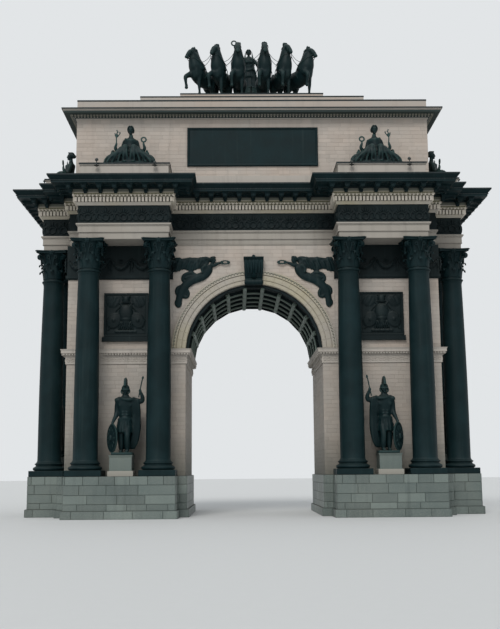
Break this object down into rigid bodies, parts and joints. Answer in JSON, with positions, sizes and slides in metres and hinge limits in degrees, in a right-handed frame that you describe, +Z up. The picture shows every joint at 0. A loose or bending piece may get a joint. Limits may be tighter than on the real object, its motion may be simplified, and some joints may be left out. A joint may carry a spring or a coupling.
{
  "type": "triumphal arch",
  "caption": "Single-passage triumphal arch of pale stone with paired cast-iron columns, coffered vault, attic and a six-horse team on top",
  "frame": {"origin": "centre of the arch's plan at ground level", "axes": "+X to the right along the front, +Y through the passage from front to back, +Z up"},
  "size_m": [25.458, 13.056, 27.33],
  "materials": {
    "granite": "rough split granite blocks",
    "white_stone": "fine sawn limestone",
    "pedestal_stone": "honed light granite",
    "dark_iron": "cast iron, dark green-black paint, satin"
  },
  "bodies": {
    "root": {"arch_wall": "white_stone", "attic_base": "white_stone", "attic_cornice": "white_stone", "attic_wall": "white_stone", "back_archivolt": "white_stone", "back_capitals": "dark_iron", "back_columns": "dark_iron", "back_groups": "dark_iron", "back_keystone": "dark_iron", "back_plate": "dark_iron", "back_victories": "dark_iron", "back_warriors": "dark_iron", "blocking_course": "white_stone", "centre_architrave": "white_stone", "centre_bed_moulding": "white_stone", "centre_cornice": "dark_iron", "centre_frieze": "dark_iron", "chariot": "dark_iron", "driver": "dark_iron", "front_archivolt": "white_stone", "front_capitals": "dark_iron", "front_columns": "dark_iron", "front_groups": "dark_iron", "front_keystone": "dark_iron", "front_plate": "dark_iron", "front_victories": "dark_iron", "front_warriors": "dark_iron", "group_pedestals": "white_stone", "horses": "dark_iron", "left_architrave": "white_stone", "left_bed_moulding": "white_stone", "left_capitals": "dark_iron", "left_columns": "dark_iron", "left_cornice": "dark_iron", "left_frieze": "dark_iron", "left_impost": "white_stone", "left_plinth": "granite", "left_pylon": "white_stone", "left_relief_band": "dark_iron", "relief_panels": "dark_iron", "right_architrave": "white_stone", "right_bed_moulding": "white_stone", "right_capitals": "dark_iron", "right_columns": "dark_iron", "right_cornice": "dark_iron", "right_frieze": "dark_iron", "right_impost": "white_stone", "right_plinth": "granite", "right_pylon": "white_stone", "right_relief_band": "dark_iron", "side_groups": "dark_iron", "side_warriors": "dark_iron", "team_plinth": "white_stone", "upper_blocking": "white_stone", "vault_lining": "dark_iron", "warrior_pedestals": "pedestal_stone"}
  },
  "joints": []
}
